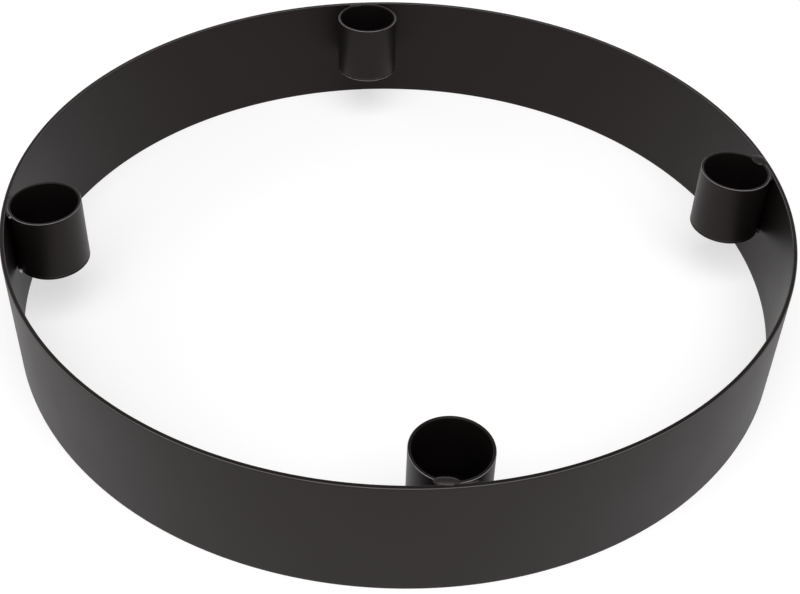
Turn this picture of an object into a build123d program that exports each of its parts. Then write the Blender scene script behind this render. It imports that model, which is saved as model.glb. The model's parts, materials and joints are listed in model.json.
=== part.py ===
from build123d import *
import math
import os

# Ring band: a flat steel strip, rolled to a circle and standing on its edge
RING_OUTER_DIAMETER = 280.0
BAND_HEIGHT = 45.0
BAND_THICKNESS = 1.5
BAND_EDGE_ROUNDING = 0.3

# Butt weld that closes the rolled strip, ground flush, and the way it faces in degrees from +X
SEAM_WIDTH = 1.2
SEAM_DIRECTION = 90.0

# Candle cups: short lengths of one inch tube, with their rims level with the top of the band
CUP_OUTER_DIAMETER = 25.4
CUP_WALL = 1.0
CUP_TUBE_LENGTH = 24.0
CUP_RIM_ROUNDING = 0.25
CUP_DIRECTIONS = {"right": 0.0, "back": 90.0, "left": 180.0, "front": 270.0}

# Disc that closes the foot of each cup: the tube stands on it, and both are as wide
FLOOR_THICKNESS = 1.0
FLOOR_EDGE_ROUNDING = 0.5

# Gap between each cup and the band, which the weld beads bridge, and half the width of a bead's tip
WELD_ROOT_GAP = 0.1
WELD_TIP = 0.2

# Weld bead over each rim: it fills the wedge between cup and band and stands a little proud
RIM_WELD_LENGTH = 12.6
RIM_WELD_RADIUS = 1.8
RIM_WELD_CROWN = 0.6
RIM_WELD_SETBACK = 0.7
RIM_WELD_BORE_CLEARANCE = 0.25

# Tack weld under each cup, at the foot of the line where it meets the band
FOOT_WELD_LENGTH = 6.0
FOOT_WELD_RADIUS = 1.4
FOOT_WELD_DROP = 0.3
FOOT_WELD_SETBACK = 0.7

# Places that follow from the sizes above
RING_OUTER_RADIUS = RING_OUTER_DIAMETER / 2
BAND_INNER_RADIUS = RING_OUTER_RADIUS - BAND_THICKNESS
BAND_MIDDLE_RADIUS = RING_OUTER_RADIUS - BAND_THICKNESS / 2
SEAM_ANGLE = math.degrees(SEAM_WIDTH / BAND_MIDDLE_RADIUS)
CUP_RADIUS = CUP_OUTER_DIAMETER / 2
BORE_RADIUS = CUP_RADIUS - CUP_WALL
CUP_CENTRE_RADIUS = BAND_INNER_RADIUS - WELD_ROOT_GAP - CUP_RADIUS
CUP_FOOT_HEIGHT = BAND_HEIGHT - CUP_TUBE_LENGTH - FLOOR_THICKNESS

# Largest share of a wall that the rounding of one of its two corners takes up
LARGEST_ROUNDING_SHARE = 0.4


def rounding(wanted, wall):
    """Radius of a rounded corner, limited by the wall that it is on."""
    return min(wanted, LARGEST_ROUNDING_SHARE * wall)


def turned(shape, direction):
    """A shape modelled towards +X, turned about the ring's axis to face the given way."""
    return Rot(0, 0, direction) * shape


def band_arc(start, angle):
    """A stretch of the rolled strip, from one direction round through an angle."""
    corner = rounding(BAND_EDGE_ROUNDING, BAND_THICKNESS)
    strip = RectangleRounded(BAND_THICKNESS, BAND_HEIGHT, corner)
    section = Plane.XZ * Pos(BAND_MIDDLE_RADIUS, BAND_HEIGHT / 2) * strip
    return turned(revolve(section, Axis.Z, angle), start)


def cup_tube():
    """The wall of a cup, standing on its floor on the Z axis, with both edges of its rim rounded."""
    middle = (BORE_RADIUS + CUP_WALL / 2, FLOOR_THICKNESS + CUP_TUBE_LENGTH / 2)
    wall = Pos(*middle) * Rectangle(CUP_WALL, CUP_TUBE_LENGTH)
    rim_corners = wall.vertices().group_by(Axis.Y)[-1]
    wall = fillet(rim_corners, rounding(CUP_RIM_ROUNDING, CUP_WALL))
    return revolve(Plane.XZ * wall, Axis.Z)


def cup_floor():
    """The disc under a cup, on the Z axis, with its lower edge rounded."""
    disc = Cylinder(CUP_RADIUS, FLOOR_THICKNESS, align=(Align.CENTER, Align.CENTER, Align.MIN))
    lower_edge = disc.edges().group_by(Axis.Z)[0]
    return fillet(lower_edge, rounding(FLOOR_EDGE_ROUNDING, 2 * FLOOR_THICKNESS))


def candle_room():
    """The column kept free for a candle, from the floor of a cup up past its rim, on the Z axis."""
    radius = BORE_RADIUS + RIM_WELD_BORE_CLEARANCE
    height = FLOOR_THICKNESS + CUP_TUBE_LENGTH + 2 * RIM_WELD_RADIUS
    return Cylinder(radius, height, align=(Align.CENTER, Align.CENTER, Align.MIN))


def bead_outline(length, radius):
    """The outline of a bead that lies along X: two arcs between blunt tips."""
    end = length / 2
    upper = ThreePointArc((-end, WELD_TIP), (0, radius), (end, WELD_TIP))
    lower = ThreePointArc((end, -WELD_TIP), (0, -radius), (-end, -WELD_TIP))
    tips = Line(upper @ 1, lower @ 0) + Line(lower @ 1, upper @ 0)
    return make_face(upper + lower + tips)


def weld_bead(length, radius):
    """A bead that lies along Y: a round bar, drawn in towards a blunt tip at both ends."""
    outline = bead_outline(length, radius)
    bar = Rot(90, 0, 0) * Cylinder(radius, length)
    seen_from_above = extrude(Rot(0, 0, 90) * outline, radius, both=True)
    seen_from_side = extrude(Plane.YZ * outline, radius, both=True)
    return bar & seen_from_above & seen_from_side


def at_cup(shape):
    """A shape on the Z axis, moved to the place of the cup that faces +X."""
    return Pos(CUP_CENTRE_RADIUS, 0, CUP_FOOT_HEIGHT) * shape


def save(name, shape):
    """Writes one piece of the ring to its own file."""
    shape.label = name
    export_step(shape, f"parts/{name}.step")
    print(name, "solids", len(shape.solids()), "volume", round(shape.volume, 2))


os.makedirs("parts", exist_ok=True)

# The strip and the weld that closes it
save("ring_band", band_arc(SEAM_DIRECTION + SEAM_ANGLE / 2, 360 - SEAM_ANGLE))
save("ring_seam_weld", band_arc(SEAM_DIRECTION - SEAM_ANGLE / 2, SEAM_ANGLE))

# One cup and its welds, modelled facing +X
tube = at_cup(cup_tube())
floor = at_cup(cup_floor())
closed_band = band_arc(0, 360)
taken_space = [closed_band, tube, floor, at_cup(candle_room())]
rim_weld_height = BAND_HEIGHT + RIM_WELD_CROWN - RIM_WELD_RADIUS
rim_weld_place = Pos(BAND_INNER_RADIUS - RIM_WELD_SETBACK, 0, rim_weld_height)
rim_weld = rim_weld_place * weld_bead(RIM_WELD_LENGTH, RIM_WELD_RADIUS) - taken_space
foot_weld_place = Pos(BAND_INNER_RADIUS - FOOT_WELD_SETBACK, 0, CUP_FOOT_HEIGHT - FOOT_WELD_DROP)
foot_weld = foot_weld_place * weld_bead(FOOT_WELD_LENGTH, FOOT_WELD_RADIUS) - taken_space

for side, direction in CUP_DIRECTIONS.items():
    save(f"cup_tube_{side}", turned(tube, direction))
    save(f"cup_floor_{side}", turned(floor, direction))
    save(f"rim_weld_{side}", turned(rim_weld, direction))
    save(f"foot_weld_{side}", turned(foot_weld, direction))
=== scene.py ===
import json
import math

import bmesh
import bpy
from mathutils import Matrix, Vector


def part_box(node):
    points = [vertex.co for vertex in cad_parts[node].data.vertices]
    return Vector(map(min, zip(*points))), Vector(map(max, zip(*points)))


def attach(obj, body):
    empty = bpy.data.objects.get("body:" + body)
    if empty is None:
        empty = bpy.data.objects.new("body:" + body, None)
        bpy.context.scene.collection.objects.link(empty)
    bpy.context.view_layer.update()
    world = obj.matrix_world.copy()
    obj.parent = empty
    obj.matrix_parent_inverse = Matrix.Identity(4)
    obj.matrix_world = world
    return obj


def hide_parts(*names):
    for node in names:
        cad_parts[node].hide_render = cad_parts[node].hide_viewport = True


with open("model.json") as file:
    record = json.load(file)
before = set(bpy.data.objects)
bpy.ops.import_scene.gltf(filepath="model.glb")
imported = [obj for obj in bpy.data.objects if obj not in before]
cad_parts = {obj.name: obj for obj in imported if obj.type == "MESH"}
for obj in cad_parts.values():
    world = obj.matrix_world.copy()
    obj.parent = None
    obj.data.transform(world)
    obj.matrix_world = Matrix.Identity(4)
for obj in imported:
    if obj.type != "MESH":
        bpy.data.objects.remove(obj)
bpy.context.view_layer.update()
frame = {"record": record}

# A candle ring: black coated steel strip, rolled to a circle, with four candle cups welded inside it

# Sizes taken from the frame, in metres
MM = 0.001
MOUNTS = {mount["name"]: mount for mount in frame["record"]["mounts"]}
SIDES = ("front", "right", "back", "left")
BAND_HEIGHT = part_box("ring_band")[1].z
BAND_OUTER_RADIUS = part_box("ring_band")[1].x
BAND_MIDDLE_RADIUS = MOUNTS["base"]["pos_m"][0]
BAND_THICKNESS = 2 * (BAND_OUTER_RADIUS - BAND_MIDDLE_RADIUS)
BAND_INNER_RADIUS = BAND_OUTER_RADIUS - BAND_THICKNESS
SEAM_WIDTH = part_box("ring_seam_weld")[1].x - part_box("ring_seam_weld")[0].x
SEAM_DIRECTION = math.radians(90)
SEAM_ANGLE = SEAM_WIDTH / BAND_OUTER_RADIUS
BORE_RADIUS = MOUNTS["candle_front"]["dims"]["r_mm"] * MM

# Which way each cup faces, in degrees
CUP_DIRECTION = {"right": 0, "back": 90, "left": 180, "front": 270}

# Rounded edges, the ground weld's depth and the small unevenness of a strip that was rolled by hand
BAND_EDGE_ROUNDING = 0.4 * MM
CUP_EDGE_ROUNDING = 0.33 * MM
CUP_FLOOR_ROUNDING = 0.5 * MM
SEAM_RELIEF = 0.03 * MM
BAND_WAVINESS = 0.12 * MM
BAND_WAVE_LENGTH = 70 * MM
BAND_WAVE_DETAIL = 1.0
BAND_WAVE_SEED = 4.0

# Wear and painted highlight: the attribute that is 1 in the middle of a rounded corner, how deep that lies
# in the corner, the level from which the coat turns paler, and how strongly the inner edges and the cups'
# lower edges get it. The paler corners are partly a thinner coat and partly a painted highlight along the
# edges.
EDGE_WEAR_AND_HIGHLIGHT = "edge_wear_and_highlight"
CORNER_DEPTH = 1 - math.sqrt(0.5)
EDGE_WEAR_AND_HIGHLIGHT_START = 0.2
BAND_INNER_WEAR_AND_HIGHLIGHT = 1.0
CUP_INNER_WEAR_AND_HIGHLIGHT = 0.2
# The back cup's much higher value is a painted highlight along its lower edge; the others are slight.
CUP_FLOOR_WEAR_AND_HIGHLIGHT = {"front": 0.6, "right": 0.6, "back": 4.0, "left": 0.6}

# How finely the round pieces are divided, and how many roundings from a corner a flat side begins
BAND_STEPS = 720
SEAM_STEPS = 8
CUP_STEPS = 128
CORNER_STEPS = 6
FLAT_START = 3.0

# Weld puddles: how much their sizes differ, as a share, how they lean on one another, in radians, how far
# they stray from their line, in millimetres, and how often their faces are divided
PUDDLE_SPREAD = 0.04
PUDDLE_TILT = 0.25
PUDDLE_STRAY = Vector((0.05, 0.08, 0.03))
PUDDLE_DIVISIONS = 3

# Melting the puddles into one skin: how finely and how deep, in millimetres, at what density, how often
# the skin is smoothed, and the number of faces under which a loose bit of it is dropped
WELD_GRAIN = 0.12
WELD_MELT_DEPTH = 4 * WELD_GRAIN
WELD_DENSITY = 0.2
WELD_SMOOTHING = 10
WELD_SPECK_FACES = 50


def weld_part(part, **values):
    """The values of one part of a weld, under the names that the weld's tree has for them."""
    return {f"{part} {label.capitalize()}": value for label, value in values.items()}


def rim_lap(length, offset, size, lift, lean):
    """The part of a rim weld that laps over the cup's rim, beside the middle of the gap."""
    return weld_part(
        "Lap",
        puddles=15,
        length=length,
        offset=offset,
        size=Vector(size),
        taper=0.8,
        setback=0.75,
        lift=lift,
        lean=lean,
    )


def foot_lap(length, offset, size):
    """The part of a foot weld that laps over the cup's lower edge, beside the middle of the gap."""
    return weld_part(
        "Lap",
        puddles=3,
        length=length,
        offset=offset,
        size=Vector(size),
        taper=0.4,
        setback=0.6,
        lift=0.5,
        lean=0.0,
    )


# Each cup's welds, in millimetres: a fill in the gap to the band, and a lap over the edge of the cup
RIM_FILL = weld_part(
    "Fill",
    puddles=17,
    length=10.8,
    offset=0.0,
    size=Vector((0.95, 0.85, 0.85)),
    taper=0.4,
    setback=0.25,
    lift=-0.8,
    lean=0.0,
)
RIM_LAPS = {
    "front": rim_lap(length=6.6, offset=-3.3, size=(1.9, 1.4, 0.72), lift=-0.2, lean=0.1),
    "right": rim_lap(length=5.4, offset=6.2, size=(2.5, 1.5, 0.75), lift=-0.2, lean=-0.15),
    "back": rim_lap(length=6.0, offset=3.6, size=(1.4, 1.1, 0.55), lift=-0.05, lean=0.0),
    "left": rim_lap(length=0.8, offset=7.1, size=(0.6, 0.55, 0.5), lift=-0.5, lean=0.0),
}
FOOT_FILL = weld_part(
    "Fill",
    puddles=13,
    length=9.6,
    offset=0.0,
    size=Vector((1.0, 0.9, 0.85)),
    taper=0.4,
    setback=0.5,
    lift=-0.1,
    lean=0.0,
)
FOOT_LAPS = {
    "front": foot_lap(length=2.2, offset=2.0, size=(1.1, 0.95, 0.9)),
    "right": foot_lap(length=2.2, offset=-5.6, size=(1.1, 0.95, 0.9)),
    "back": foot_lap(length=2.2, offset=2.4, size=(1.1, 0.95, 0.9)),
    "left": foot_lap(length=0.8, offset=7.2, size=(0.85, 0.75, 0.75)),
}

# Drops of weld on the left cup, painted pale: partly almost bare metal and partly a painted glint. Where
# they lie along the gap and how far they reach, in millimetres, and how strongly they are painted
BARE_GLINT_DROP_REACH = 1.2
RIM_GLINT_DROPS = {"left": weld_part("Drop", offset=7.2, bareness=0.5)}
FOOT_GLINT_DROPS = {"left": weld_part("Drop", offset=7.4, bareness=1.8)}
NO_DROP = weld_part("Drop", offset=0.0, bareness=0.0)

# First seed of the four rim welds and of the four foot welds
RIM_SEED = 10
FOOT_SEED = 20

# Patterns in the coat: how many fit in a metre, how detailed they are, and their seeds
MOTTLE = {"scale": 45.0, "detail": 3.0, "seed": 1.0}
GRAIN = {"scale": 2600.0, "detail": 2.0, "seed": 2.0}
ORANGE_PEEL = {"scale": 700.0, "detail": 2.0, "seed": 3.0}
WEAR_AND_HIGHLIGHT_PATCHES = {"scale": 110.0, "detail": 2.0, "seed": 5.0}

# How much the patterns do: to the wear and painted highlight, to the roughness, and to the height of the
# coat
LEAST_PATCH_WEAR_AND_HIGHLIGHT = 0.35
MOST_PATCH_WEAR_AND_HIGHLIGHT = 1.15
GRAIN_ROUGHNESS = 0.04
MOTTLE_ROUGHNESS = 0.05
GRAIN_SHARE = 0.35
BUMP_STRENGTH = 0.25
BUMP_HEIGHT = 0.03 * MM

# The faint warmth of what the coat mirrors, on the sheet metal and on the welds
SHEET_GLOSS_TINT = (1.0, 0.86, 0.87, 1.0)
WELD_GLOSS_TINT = (1.0, 0.92, 0.91, 1.0)

# White floor: its reach and its drop under the ring, the grey that throws light back at the ring, the grey
# that takes its shadow, and the glow that is added to that, from near the ring to far out
WHITE = (1.0, 1.0, 1.0, 1.0)
FLOOR_REACH = 6.0
FLOOR_DROP = 0.02 * MM
FLOOR_BOUNCE = (0.85, 0.85, 0.85, 1.0)
FLOOR_SHADED = (0.5, 0.5, 0.5, 1.0)
FLOOR_NEAR = 0.4
FLOOR_FAR = 2.4
NEAR_GLOW = 0.6
FAR_GLOW = 0.88

# The room turns from white to dim upwards, and a little to the right: the way it turns, where along that
# way the turn starts and ends, and how bright the room is on both sides of it
SKY_SLOPE = (0.2, 0.0, 1.0)
SKY_TURN_START = 0.55
SKY_TURN_END = 0.63
SKY_WHITE = 1.0
SKY_DIM = 0.06

# Lamp over the ring: where it hangs, what it faces and how wide it is, in metres, and its watts
LAMP_PLACE = (0.0, -0.6, 1.3)
LAMP_AIM = (0.0, 0.0, 0.0)
LAMP_WIDTH = 1.4
LAMP_WATTS = 17.5

# Camera: where it looks from, in degrees and metres, and its lens and sensor, in millimetres
CAMERA_AZIMUTH = -7.89
CAMERA_ELEVATION = 38.22
CAMERA_ROLL = 2.02
CAMERA_AIM = (0.0047, 0.0312, 0.0)
CAMERA_DISTANCE = 0.5030
CAMERA_NEAREST = 0.01
CAMERA_LENS = 56.09
CAMERA_SENSOR = 36.0
CAMERA_SHIFT_Y = -0.0838


# Geometry node trees

SOCKET_KINDS = {
    bool: "NodeSocketBool",
    int: "NodeSocketInt",
    float: "NodeSocketFloat",
    Vector: "NodeSocketVector",
    bpy.types.Material: "NodeSocketMaterial",
}


def new_tree(name, inputs):
    """An empty geometry node tree with named inputs of the given kinds and one geometry output."""
    tree = bpy.data.node_groups.new(name, "GeometryNodeTree")
    for label, kind in inputs.items():
        tree.interface.new_socket(label, in_out="INPUT", socket_type=SOCKET_KINDS[kind])
    tree.interface.new_socket("Geometry", in_out="OUTPUT", socket_type="NodeSocketGeometry")
    entry = tree.nodes.new("NodeGroupInput")
    return tree, entry.outputs


def plug(tree, socket, value):
    """Gives an input socket a value, or links it to another node's output."""
    if isinstance(value, bpy.types.Node):
        value = next(output for output in value.outputs if not output.is_unavailable)
    if isinstance(value, bpy.types.NodeSocket):
        tree.links.new(value, socket)
    else:
        socket.default_value = value


def add(tree, kind, inputs=None, **settings):
    """A new node with the given settings, its inputs filled by name or by place."""
    node = tree.nodes.new(kind)
    for key, value in settings.items():
        setattr(node, key, value)
    for label, value in (inputs or {}).items():
        sockets = [socket for socket in node.inputs if not socket.is_unavailable]
        if isinstance(label, int):
            plug(tree, sockets[label], value)
        else:
            plug(tree, next(socket for socket in sockets if socket.name == label), value)
    return node


def calc(tree, operation, *values):
    """One step of arithmetic in a node tree."""
    return add(tree, "ShaderNodeMath", dict(enumerate(values)), operation=operation)


def position(tree):
    """The three coordinates of a point, each as an output."""
    return add(tree, "ShaderNodeSeparateXYZ", {0: add(tree, "GeometryNodeInputPosition")}).outputs


def marked_wear_and_highlight(tree, geometry, wear_and_highlight):
    """The same geometry, with its wear and painted highlight stored on its points for the coat to read."""
    return add(
        tree,
        "GeometryNodeStoreNamedAttribute",
        {"Geometry": geometry, "Name": EDGE_WEAR_AND_HIGHLIGHT, "Value": wear_and_highlight},
        data_type="FLOAT",
        domain="POINT",
    )


def close_tree(tree, geometry, material):
    """Ends a tree: smooth shading, no instances left, and its material."""
    smooth = add(tree, "GeometryNodeSetShadeSmooth", {"Geometry": geometry})
    plain = add(tree, "GeometryNodeRealizeInstances", {"Geometry": smooth})
    painted = add(tree, "GeometryNodeSetMaterial", {"Geometry": plain, "Material": material})
    add(tree, "NodeGroupOutput", {"Geometry": painted})
    return tree


def made_from(tree, name, values):
    """A plain mesh object, made by a node tree with the given input values."""
    maker = bpy.data.objects.new(name, bpy.data.meshes.new(name))
    bpy.context.scene.collection.objects.link(maker)
    modifier = maker.modifiers.new("shape", "NODES")
    modifier.node_group = tree
    for item in tree.interface.items_tree:
        if item.in_out == "INPUT":
            modifier[item.identifier] = values[item.name]
    evaluated = maker.evaluated_get(bpy.context.evaluated_depsgraph_get())
    mesh = bpy.data.meshes.new_from_object(evaluated)
    maker.modifiers.remove(modifier)
    maker.data = mesh
    mesh.name = name
    return maker


def strip_profile(tree, thickness, height, rounding, inner_wear_and_highlight):
    """The upright section of a strip: a tall rectangle with rounded corners.
    Two extra points close to the ends of each tall side keep its shading flat.
    It also marks the corners for wear and a painted highlight: the outer ones fully, the inner ones as
    given."""
    side = (1, 1, 1, -1, -1, -1, -1, 1)
    end = (-1, 1, 1, 1, 1, -1, -1, -1)
    inset = (1, 1, 0, 0, 1, 1, 0, 0)
    index = add(tree, "GeometryNodeInputIndex")

    def by_point(numbers):
        switch = add(tree, "GeometryNodeIndexSwitch", data_type="FLOAT")
        while len(switch.index_switch_items) < len(numbers):
            switch.index_switch_items.new()
        plug(tree, switch.inputs[0], index)
        for socket, number in zip(switch.inputs[1:], numbers):
            socket.default_value = number
        return switch

    half_height = calc(tree, "MULTIPLY", height, 0.5)
    half_thickness = calc(tree, "MULTIPLY", thickness, 0.5)
    flat_start = calc(tree, "MULTIPLY", rounding, FLAT_START)
    set_in = by_point(inset)
    reach = calc(tree, "SUBTRACT", half_height, calc(tree, "MULTIPLY", set_in, flat_start))
    across = calc(tree, "MULTIPLY", by_point(side), half_thickness)
    along = calc(tree, "MULTIPLY", by_point(end), reach)
    place = add(tree, "ShaderNodeCombineXYZ", {"X": across, "Y": along})
    points = add(tree, "GeometryNodeCurvePrimitiveCircle", {"Resolution": len(side)})
    outline = add(tree, "GeometryNodeSetPosition", {"Geometry": points, "Position": place})
    corner_radius = calc(tree, "MULTIPLY", rounding, calc(tree, "SUBTRACT", 1.0, set_in))
    rounded = add(
        tree,
        "GeometryNodeFilletCurve",
        {"Curve": outline, "Count": CORNER_STEPS, "Radius": corner_radius},
        mode="POLY",
    )
    spot = position(tree)
    from_side = calc(tree, "SUBTRACT", half_thickness, calc(tree, "ABSOLUTE", spot["X"]))
    from_end = calc(tree, "SUBTRACT", half_height, calc(tree, "ABSOLUTE", spot["Y"]))
    depth = calc(tree, "MINIMUM", from_side, from_end)
    share = calc(tree, "DIVIDE", depth, calc(tree, "MULTIPLY", rounding, CORNER_DEPTH))
    side_wear_and_highlight = add(
        tree,
        "ShaderNodeMix",
        {"Factor": calc(tree, "GREATER_THAN", spot["X"], 0.0), "A": inner_wear_and_highlight, "B": 1.0},
        data_type="FLOAT",
    )
    return marked_wear_and_highlight(tree, rounded, calc(tree, "MULTIPLY", share, side_wear_and_highlight))


def rolled_strip_tree():
    """A strip of rounded section, standing on its edge and rolled round the Z axis, open or closed."""
    tree, entry = new_tree(
        "rolled_strip",
        {
            "Middle Radius": float,
            "Thickness": float,
            "Height": float,
            "Edge Rounding": float,
            "Inner Wear And Highlight": float,
            "Start": float,
            "Sweep": float,
            "Closed": bool,
            "Steps": int,
            "Waviness": float,
            "Wave Length": float,
            "Seed": float,
            "Place": Vector,
            "Material": bpy.types.Material,
        },
    )
    arc = add(
        tree,
        "GeometryNodeCurveArc",
        {
            "Resolution": entry["Steps"],
            "Radius": entry["Middle Radius"],
            "Start Angle": entry["Start"],
            "Sweep Angle": entry["Sweep"],
        },
    )
    ring = add(
        tree,
        "GeometryNodeCurvePrimitiveCircle",
        {"Resolution": entry["Steps"], "Radius": entry["Middle Radius"]},
    )
    path = add(
        tree,
        "GeometryNodeSwitch",
        {"Switch": entry["Closed"], "False": arc, "True": ring},
        input_type="GEOMETRY",
    )
    profile = strip_profile(
        tree, entry["Thickness"], entry["Height"], entry["Edge Rounding"], entry["Inner Wear And Highlight"]
    )
    strip = add(
        tree,
        "GeometryNodeCurveToMesh",
        {"Curve": path, "Profile Curve": profile, "Fill Caps": True},
    )
    waves = add(
        tree,
        "ShaderNodeTexNoise",
        {
            "Vector": add(tree, "GeometryNodeInputPosition"),
            "W": entry["Seed"],
            "Scale": calc(tree, "DIVIDE", 1.0, entry["Wave Length"]),
            "Detail": BAND_WAVE_DETAIL,
        },
        noise_dimensions="4D",
    )
    swell = calc(
        tree, "MULTIPLY", calc(tree, "SUBTRACT", waves.outputs["Fac"], 0.5), entry["Waviness"]
    )
    flat = add(
        tree,
        "ShaderNodeVectorMath",
        {0: add(tree, "GeometryNodeInputPosition"), 1: (1.0, 1.0, 0.0)},
        operation="MULTIPLY",
    )
    away = add(tree, "ShaderNodeVectorMath", {0: flat}, operation="NORMALIZE")
    shove = add(tree, "ShaderNodeVectorMath", {0: away, "Scale": swell}, operation="SCALE")
    uneven = add(tree, "GeometryNodeSetPosition", {"Geometry": strip, "Offset": shove})
    placed = add(
        tree, "GeometryNodeTransform", {"Geometry": uneven, "Translation": entry["Place"]}
    )
    return close_tree(tree, placed, entry["Material"])


def puddle_row(tree, entry, row):
    """One pass of the welding rod: a row of flattened puddles that overlap like scales.
    It runs along Y, in millimetres, and bends with the gap between cup and band."""
    length = entry[f"{row} Length"]
    offset = entry[f"{row} Offset"]
    count = entry[f"{row} Puddles"]
    half = calc(tree, "MULTIPLY", length, 0.5)
    step = calc(tree, "DIVIDE", length, calc(tree, "SUBTRACT", count, 1.0))
    start = add(tree, "ShaderNodeCombineXYZ", {"Y": calc(tree, "SUBTRACT", offset, half)})
    stride = add(tree, "ShaderNodeCombineXYZ", {"Y": step})
    line = add(
        tree,
        "GeometryNodeMeshLine",
        {"Count": count, "Start Location": start, "Offset": stride},
        mode="OFFSET",
    )
    along = position(tree)["Y"]
    sag = calc(tree, "MULTIPLY", calc(tree, "MULTIPLY", along, along), entry["Bend"])
    across = calc(tree, "SUBTRACT", calc(tree, "MULTIPLY", sag, -1.0), entry[f"{row} Setback"])
    place = add(
        tree, "ShaderNodeCombineXYZ", {"X": across, "Y": along, "Z": entry[f"{row} Lift"]}
    )
    stray = add(
        tree,
        "FunctionNodeRandomValue",
        {"Min": -PUDDLE_STRAY, "Max": PUDDLE_STRAY, "Seed": entry["Seed"]},
        data_type="FLOAT_VECTOR",
    )
    points = add(
        tree,
        "GeometryNodeSetPosition",
        {"Geometry": line, "Position": place, "Offset": stray},
    )
    share = calc(tree, "DIVIDE", calc(tree, "SUBTRACT", along, offset), half)
    fall = calc(tree, "MULTIPLY", calc(tree, "MULTIPLY", share, share), entry[f"{row} Taper"])
    taper = calc(tree, "SQRT", calc(tree, "SUBTRACT", 1.0, fall))
    spread = add(
        tree,
        "FunctionNodeRandomValue",
        {
            "Min": 1.0 - PUDDLE_SPREAD,
            "Max": 1.0 + PUDDLE_SPREAD,
            "Seed": calc(tree, "ADD", entry["Seed"], 1.0),
        },
        data_type="FLOAT",
    )
    size = add(
        tree,
        "ShaderNodeVectorMath",
        {0: entry[f"{row} Size"], "Scale": calc(tree, "MULTIPLY", taper, spread)},
        operation="SCALE",
    )
    lean = add(tree, "ShaderNodeCombineXYZ", {"X": PUDDLE_TILT, "Y": entry[f"{row} Lean"]})
    puddle = add(
        tree, "GeometryNodeMeshIcoSphere", {"Radius": 1.0, "Subdivisions": PUDDLE_DIVISIONS}
    )
    return add(
        tree,
        "GeometryNodeInstanceOnPoints",
        {
            "Points": points,
            "Instance": puddle,
            "Rotation": lean,
            "Scale": size,
        },
    )


def weld_tree():
    """A weld of two passes, melted into one lump: a fill in the gap and a lap over the edge."""
    inputs = {}
    for row in ("Fill", "Lap"):
        inputs |= weld_part(
            row,
            length=float,
            offset=float,
            puddles=int,
            size=Vector,
            taper=float,
            setback=float,
            lift=float,
            lean=float,
        )
    inputs |= {
        "Bend": float,
        "Drop Offset": float,
        "Drop Bareness": float,
        "Seed": int,
        "Turn": float,
        "Place": Vector,
        "Material": bpy.types.Material,
    }
    tree, entry = new_tree("weld_bead", inputs)
    rows = tree.nodes.new("GeometryNodeJoinGeometry")
    for row in ("Fill", "Lap"):
        tree.links.new(puddle_row(tree, entry, row).outputs[0], rows.inputs[0])
    lumps = add(tree, "GeometryNodeRealizeInstances", {"Geometry": rows})
    melt = add(
        tree,
        "GeometryNodeMeshToVolume",
        {"Mesh": lumps, "Voxel Size": WELD_GRAIN, "Interior Band Width": WELD_MELT_DEPTH},
        resolution_mode="VOXEL_SIZE",
    )
    skin = add(
        tree,
        "GeometryNodeVolumeToMesh",
        {"Volume": melt, "Voxel Size": WELD_GRAIN, "Threshold": WELD_DENSITY},
        resolution_mode="VOXEL_SIZE",
    )
    island = add(tree, "GeometryNodeInputMeshIsland").outputs["Island Index"]
    island_faces = add(
        tree,
        "GeometryNodeAccumulateField",
        {"Value": 1.0, "Group ID": island},
        data_type="FLOAT",
        domain="FACE",
    ).outputs["Total"]
    lump = add(
        tree,
        "GeometryNodeDeleteGeometry",
        {"Geometry": skin, "Selection": calc(tree, "LESS_THAN", island_faces, WELD_SPECK_FACES)},
        domain="FACE",
    )
    soft = add(
        tree,
        "GeometryNodeBlurAttribute",
        {"Value": add(tree, "GeometryNodeInputPosition"), "Iterations": WELD_SMOOTHING},
        data_type="FLOAT_VECTOR",
    )
    smooth = add(tree, "GeometryNodeSetPosition", {"Geometry": lump, "Position": soft})
    # Near a drop the weld is painted pale: partly bare metal, partly a painted glint.
    along = position(tree)["Y"]
    from_drop = calc(tree, "ABSOLUTE", calc(tree, "SUBTRACT", along, entry["Drop Offset"]))
    nearness = calc(tree, "SUBTRACT", 1.0, calc(tree, "DIVIDE", from_drop, BARE_GLINT_DROP_REACH))
    bareness = calc(tree, "MULTIPLY", nearness, entry["Drop Bareness"])
    marked = marked_wear_and_highlight(tree, smooth, bareness)
    turn = add(tree, "ShaderNodeCombineXYZ", {"Z": entry["Turn"]})
    placed = add(
        tree,
        "GeometryNodeTransform",
        {
            "Geometry": marked,
            "Translation": entry["Place"],
            "Rotation": turn,
            "Scale": (MM, MM, MM),
        },
    )
    return close_tree(tree, placed, entry["Material"])


# Materials

def object_noise(tree, scale, detail, seed):
    """A noise pattern in the object's own coordinates, so that it never slides."""
    place = add(tree, "ShaderNodeTexCoord").outputs["Object"]
    return add(
        tree,
        "ShaderNodeTexNoise",
        {"Vector": place, "W": seed, "Scale": scale, "Detail": detail},
        noise_dimensions="4D",
    ).outputs["Fac"]


def between(tree, value, low, high):
    """A pattern from 0 to 1, spread over a range of values."""
    return add(tree, "ShaderNodeMapRange", {"Value": value, "To Min": low, "To Max": high}).outputs[0]


def mixed_colour(tree, share, low, high):
    """A colour that turns from one to another as a share goes from 0 to 1."""
    return add(tree, "ShaderNodeMix", {"Factor": share, "A": low, "B": high}, data_type="RGBA")


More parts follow.
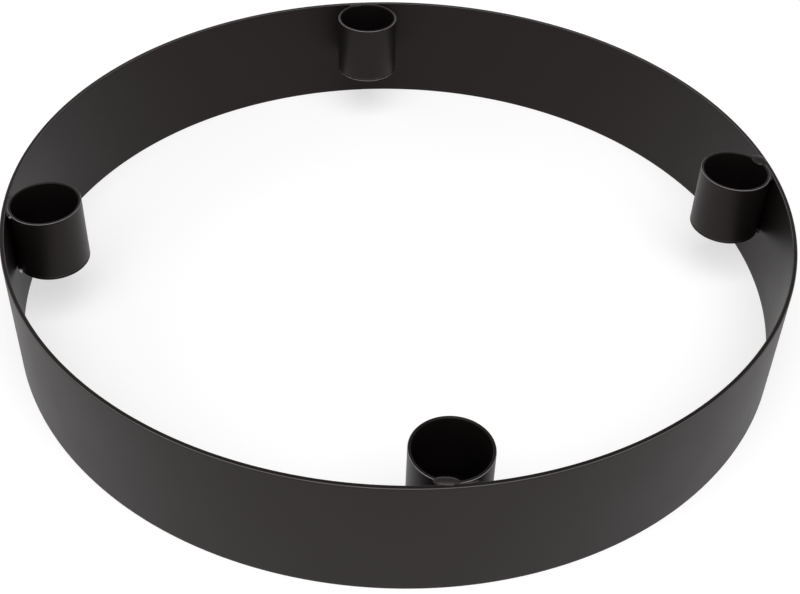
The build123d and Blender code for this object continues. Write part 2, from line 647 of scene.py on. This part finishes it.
def powder_coat(name, dark, light, worn_and_highlight, rough, gloss, tint):
    """Satin black powder coat over steel: faint mottling, orange peel, a fine grain,
    and a paler colour along the marked corners, partly a thinner coat and partly a painted highlight."""
    material = bpy.data.materials.new(name)
    material.use_nodes = True
    tree = material.node_tree
    shader = tree.nodes["Principled BSDF"]
    shader.inputs["Specular IOR Level"].default_value = gloss
    shader.inputs["Specular Tint"].default_value = tint
    mottle = object_noise(tree, **MOTTLE)
    tone = mixed_colour(tree, mottle, (*dark, 1.0), (*light, 1.0))
    # Paler colour where corners and drops are marked: partly a thinner coat, partly a painted highlight.
    corner = add(tree, "ShaderNodeAttribute", attribute_name=EDGE_WEAR_AND_HIGHLIGHT).outputs["Fac"]
    crest = add(tree, "ShaderNodeMapRange", {"Value": corner, "From Min": EDGE_WEAR_AND_HIGHLIGHT_START}).outputs[0]
    patches = between(tree, object_noise(tree, **WEAR_AND_HIGHLIGHT_PATCHES), LEAST_PATCH_WEAR_AND_HIGHLIGHT, MOST_PATCH_WEAR_AND_HIGHLIGHT)
    rubbed_and_highlit = mixed_colour(tree, calc(tree, "MULTIPLY", crest, patches), tone, (*worn_and_highlight, 1.0))
    plug(tree, shader.inputs["Base Color"], rubbed_and_highlit)
    grain = object_noise(tree, **GRAIN)
    fine = between(tree, grain, rough - GRAIN_ROUGHNESS, rough + GRAIN_ROUGHNESS)
    broad = between(tree, mottle, -MOTTLE_ROUGHNESS, MOTTLE_ROUGHNESS)
    plug(tree, shader.inputs["Roughness"], calc(tree, "ADD", fine, broad))
    peel = object_noise(tree, **ORANGE_PEEL)
    height = calc(tree, "ADD", peel, calc(tree, "MULTIPLY", grain, GRAIN_SHARE))
    bump = add(
        tree,
        "ShaderNodeBump",
        {"Strength": BUMP_STRENGTH, "Distance": BUMP_HEIGHT, "Height": height},
    )
    plug(tree, shader.inputs["Normal"], bump.outputs["Normal"])
    return material


# Pieces

def finished(piece, node):
    """Hands a finished piece to the frame: it rides on the ring and stands for a CAD node."""
    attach(piece, "root")
    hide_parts(node)


def band_stretch(tree, name, start, sweep, steps, relief, coat):
    """A stretch of the rolled strip, from one direction round through an angle. Where it was ground, its
    faces lie a hair lower."""
    return made_from(
        tree,
        name,
        {
            "Middle Radius": BAND_MIDDLE_RADIUS,
            "Thickness": BAND_THICKNESS - 2 * relief,
            "Height": BAND_HEIGHT - 2 * relief,
            "Edge Rounding": BAND_EDGE_ROUNDING,
            "Inner Wear And Highlight": BAND_INNER_WEAR_AND_HIGHLIGHT,
            "Start": start,
            "Sweep": sweep,
            "Closed": False,
            "Steps": steps,
            "Waviness": BAND_WAVINESS,
            "Wave Length": BAND_WAVE_LENGTH,
            "Seed": BAND_WAVE_SEED,
            "Place": Vector((0, 0, BAND_HEIGHT / 2)),
            "Material": coat,
        },
    )


def ring_band(tree, coat):
    """The rolled strip, all but the width of its closing weld."""
    start = SEAM_DIRECTION + SEAM_ANGLE / 2
    sweep = 2 * math.pi - SEAM_ANGLE
    strip = band_stretch(tree, "band", start, sweep, BAND_STEPS, relief=0.0, coat=coat)
    finished(strip, "ring_band")


def ring_seam(tree, coat):
    """The ground-down weld that closes the strip."""
    start = SEAM_DIRECTION - SEAM_ANGLE / 2
    seam = band_stretch(
        tree, "seam_weld", start, SEAM_ANGLE, SEAM_STEPS, relief=SEAM_RELIEF, coat=coat
    )
    finished(seam, "ring_seam_weld")


def round_piece(node):
    """Where a round CAD piece stands: the low and high corner of its box, its middle and its radius."""
    low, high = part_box(node)
    return low, high, (low + high) / 2, (high.x - low.x) / 2


def cup_wall(tree, side, coat):
    """One candle cup's wall: a short tube that stands on its floor disc."""
    node = f"cup_tube_{side}"
    low, high, middle, radius = round_piece(node)
    wall = made_from(
        tree,
        f"cup_wall_{side}",
        {
            "Middle Radius": (radius + BORE_RADIUS) / 2,
            "Thickness": radius - BORE_RADIUS,
            "Height": high.z - low.z,
            "Edge Rounding": CUP_EDGE_ROUNDING,
            "Inner Wear And Highlight": CUP_INNER_WEAR_AND_HIGHLIGHT,
            "Start": 0.0,
            "Sweep": 2 * math.pi,
            "Closed": True,
            "Steps": CUP_STEPS,
            "Waviness": 0.0,
            "Wave Length": BAND_WAVE_LENGTH,
            "Seed": 0.0,
            "Place": middle,
            "Material": coat,
        },
    )
    finished(wall, node)


def cup_floor(side, coat):
    """The disc under a cup, turned about the cup's axis, with its lower edge rounded."""
    node = f"cup_floor_{side}"
    low, high, middle, radius = round_piece(node)
    outline = [(0.0, high.z), (radius, high.z)]
    for step in range(CORNER_STEPS + 1):
        angle = math.radians(90) * step / CORNER_STEPS
        outline.append(
            (
                radius - CUP_FLOOR_ROUNDING * (1 - math.cos(angle)),
                low.z + CUP_FLOOR_ROUNDING * (1 - math.sin(angle)),
            )
        )
    outline += [(radius - FLAT_START * CUP_FLOOR_ROUNDING, low.z), (0.0, low.z)]
    shape = bmesh.new()
    # The lower rounded edge is marked for wear and painted highlight, strongest on the back cup.
    wear_and_highlight = shape.verts.layers.float.new(EDGE_WEAR_AND_HIGHLIGHT)
    turns = [2 * math.pi * step / CUP_STEPS for step in range(CUP_STEPS)]
    rings = []
    for reach, height in outline:
        if reach == 0.0:
            rings.append([shape.verts.new((middle.x, middle.y, height))] * CUP_STEPS)
            continue
        depth = min(radius - reach, height - low.z)
        ring = []
        for turn in turns:
            place = (middle.x + reach * math.cos(turn), middle.y + reach * math.sin(turn), height)
            point = shape.verts.new(place)
            point[wear_and_highlight] = CUP_FLOOR_WEAR_AND_HIGHLIGHT[side] * depth / (CORNER_DEPTH * CUP_FLOOR_ROUNDING)
            ring.append(point)
        rings.append(ring)
    for upper, lower in zip(rings, rings[1:]):
        for step in range(CUP_STEPS):
            after = (step + 1) % CUP_STEPS
            corners = [upper[step], lower[step], lower[after], upper[after]]
            face = shape.faces.new(list(dict.fromkeys(corners)))
            face.smooth = True
    mesh = bpy.data.meshes.new(node)
    shape.to_mesh(mesh)
    shape.free()
    mesh.materials.append(coat)
    disc = bpy.data.objects.new(f"cup_disc_{side}", mesh)
    bpy.context.scene.collection.objects.link(disc)
    finished(disc, node)


def weld_place(side, height):
    """Where a cup's weld lies, the way it faces, and the bend of the gap between the cup and the band."""
    direction = math.radians(CUP_DIRECTION[side])
    *_, cup_radius = round_piece(f"cup_tube_{side}")
    cup_bend = MM / cup_radius / 2
    band_bend = MM / BAND_INNER_RADIUS / 2
    return {
        "Bend": (cup_bend + band_bend) / 2,
        "Turn": direction,
        "Place": Vector(
            (
                BAND_INNER_RADIUS * math.cos(direction),
                BAND_INNER_RADIUS * math.sin(direction),
                height,
            )
        ),
    }


def rim_weld(tree, side, coat):
    """The weld over a cup's rim: it fills the gap to the band, and laps the rim beside the middle."""
    values = weld_place(side, BAND_HEIGHT) | RIM_FILL | RIM_LAPS[side] | RIM_GLINT_DROPS.get(side, NO_DROP)
    values |= {"Seed": RIM_SEED + SIDES.index(side), "Material": coat}
    finished(made_from(tree, f"rim_bead_{side}", values), f"rim_weld_{side}")


def foot_weld(tree, side, coat):
    """The tack under a cup, in the corner between its floor disc and the band."""
    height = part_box(f"cup_floor_{side}")[0].z
    values = weld_place(side, height) | FOOT_FILL | FOOT_LAPS[side] | FOOT_GLINT_DROPS.get(side, NO_DROP)
    values |= {"Seed": FOOT_SEED + SIDES.index(side), "Material": coat}
    finished(made_from(tree, f"foot_bead_{side}", values), f"foot_weld_{side}")


# Floor, light and camera

def white_floor():
    """A wide white floor with the ring's soft shadow. Seen directly or mirrored it reads as white,
    also far out, where little of the lamp's light falls."""
    mesh = bpy.data.meshes.new("floor")
    reach = FLOOR_REACH
    corners = [(-reach, -reach, 0), (reach, -reach, 0), (reach, reach, 0), (-reach, reach, 0)]
    mesh.from_pydata(corners, [], [(0, 1, 2, 3)])
    floor = bpy.data.objects.new("floor", mesh)
    floor.location.z = -FLOOR_DROP
    bpy.context.scene.collection.objects.link(floor)
    material = bpy.data.materials.new("white_floor")
    material.use_nodes = True
    tree = material.node_tree
    tree.nodes.clear()
    path = add(tree, "ShaderNodeLightPath").outputs
    mirrored = calc(tree, "MAXIMUM", path["Is Glossy Ray"], path["Is Transmission Ray"])
    seen = calc(tree, "MAXIMUM", path["Is Camera Ray"], mirrored)
    lit = add(tree, "ShaderNodeBsdfDiffuse", {"Color": FLOOR_BOUNCE})
    shaded = add(tree, "ShaderNodeBsdfDiffuse", {"Color": FLOOR_SHADED})
    place = add(tree, "ShaderNodeTexCoord").outputs["Object"]
    distance = add(tree, "ShaderNodeVectorMath", {0: place}, operation="LENGTH").outputs["Value"]
    lift = add(
        tree,
        "ShaderNodeMapRange",
        {
            "Value": distance,
            "From Min": FLOOR_NEAR,
            "From Max": FLOOR_FAR,
            "To Min": NEAR_GLOW,
            "To Max": FAR_GLOW,
        },
    )
    glow = add(tree, "ShaderNodeEmission", {"Color": WHITE, "Strength": lift.outputs[0]})
    bright = add(tree, "ShaderNodeAddShader", {0: shaded, 1: glow})
    mixed = add(tree, "ShaderNodeMixShader", {0: seen, 1: lit, 2: bright})
    add(tree, "ShaderNodeOutputMaterial", {"Surface": mixed})
    material.cycles.emission_sampling = "NONE"
    mesh.materials.append(material)


def surroundings():
    """A pale room: white round the horizon, higher up on the left than on the right, dim overhead."""
    world = bpy.data.worlds.new("surroundings")
    bpy.context.scene.world = world
    world.use_nodes = True
    tree = world.node_tree
    background = tree.nodes["Background"]
    direction = add(tree, "ShaderNodeTexCoord").outputs["Generated"]
    height = add(
        tree, "ShaderNodeVectorMath", {0: direction, 1: SKY_SLOPE}, operation="DOT_PRODUCT"
    ).outputs["Value"]
    level = add(
        tree,
        "ShaderNodeMapRange",
        {
            "Value": height,
            "From Min": SKY_TURN_START,
            "From Max": SKY_TURN_END,
            "To Min": SKY_WHITE,
            "To Max": SKY_DIM,
        },
        interpolation_type="SMOOTHSTEP",
    )
    background.inputs["Color"].default_value = WHITE
    plug(tree, background.inputs["Strength"], level.outputs[0])


def top_light():
    """A square soft box that hangs over the ring."""
    lamp = bpy.data.lights.new("top_light", "AREA")
    lamp.shape = "SQUARE"
    lamp.size = LAMP_WIDTH
    lamp.energy = LAMP_WATTS
    box = bpy.data.objects.new("top_light", lamp)
    bpy.context.scene.collection.objects.link(box)
    box.location = LAMP_PLACE
    box.rotation_euler = (Vector(LAMP_AIM) - Vector(LAMP_PLACE)).to_track_quat("-Z", "Y").to_euler()


def look_at_ring():
    """The camera at the photograph's place."""
    camera = bpy.data.objects.new("camera", bpy.data.cameras.new("camera"))
    bpy.context.scene.collection.objects.link(camera)
    azimuth = math.radians(CAMERA_AZIMUTH)
    elevation = math.radians(CAMERA_ELEVATION)
    back = Vector(
        (
            math.sin(azimuth) * math.cos(elevation),
            -math.cos(azimuth) * math.cos(elevation),
            math.sin(elevation),
        )
    )
    camera.location = Vector(CAMERA_AIM) + back * CAMERA_DISTANCE
    turn = (-back).to_track_quat("-Z", "Y").to_matrix().to_4x4()
    roll = Matrix.Rotation(math.radians(CAMERA_ROLL), 4, "Z")
    camera.rotation_euler = (turn @ roll).to_euler()
    camera.data.lens = CAMERA_LENS
    camera.data.sensor_width = CAMERA_SENSOR
    camera.data.shift_y = CAMERA_SHIFT_Y
    camera.data.clip_start = CAMERA_NEAREST
    bpy.context.scene.camera = camera


# The worn colours of the band and cups are partly a thinner coat and partly a painted highlight on their
# corners.
band_coat = powder_coat(
    "band_coat",
    dark=(0.0040, 0.0026, 0.0027),
    light=(0.0072, 0.0050, 0.0051),
    worn_and_highlight=(0.160, 0.156, 0.154),
    rough=0.48,
    gloss=0.24,
    tint=SHEET_GLOSS_TINT,
)
cup_coat = powder_coat(
    "cup_coat",
    dark=(0.0036, 0.0024, 0.0025),
    light=(0.0064, 0.0045, 0.0046),
    worn_and_highlight=(0.420, 0.412, 0.407),
    rough=0.42,
    gloss=0.25,
    tint=SHEET_GLOSS_TINT,
)
# The weld's pale worn colour paints the left cup's drops: partly bare metal, partly a painted glint.
weld_coat = powder_coat(
    "weld_coat",
    dark=(0.0140, 0.0124, 0.0120),
    light=(0.0240, 0.0214, 0.0208),
    worn_and_highlight=(0.900, 0.880, 0.860),
    rough=0.34,
    gloss=0.28,
    tint=WELD_GLOSS_TINT,
)

strip_tree = rolled_strip_tree()
bead_tree = weld_tree()
ring_band(strip_tree, band_coat)
ring_seam(strip_tree, band_coat)
for side in SIDES:
    cup_wall(strip_tree, side, cup_coat)
    cup_floor(side, cup_coat)
    rim_weld(bead_tree, side, weld_coat)
    foot_weld(bead_tree, side, weld_coat)

white_floor()
surroundings()
top_light()
look_at_ring()
bpy.context.scene.view_settings.view_transform = "Standard"
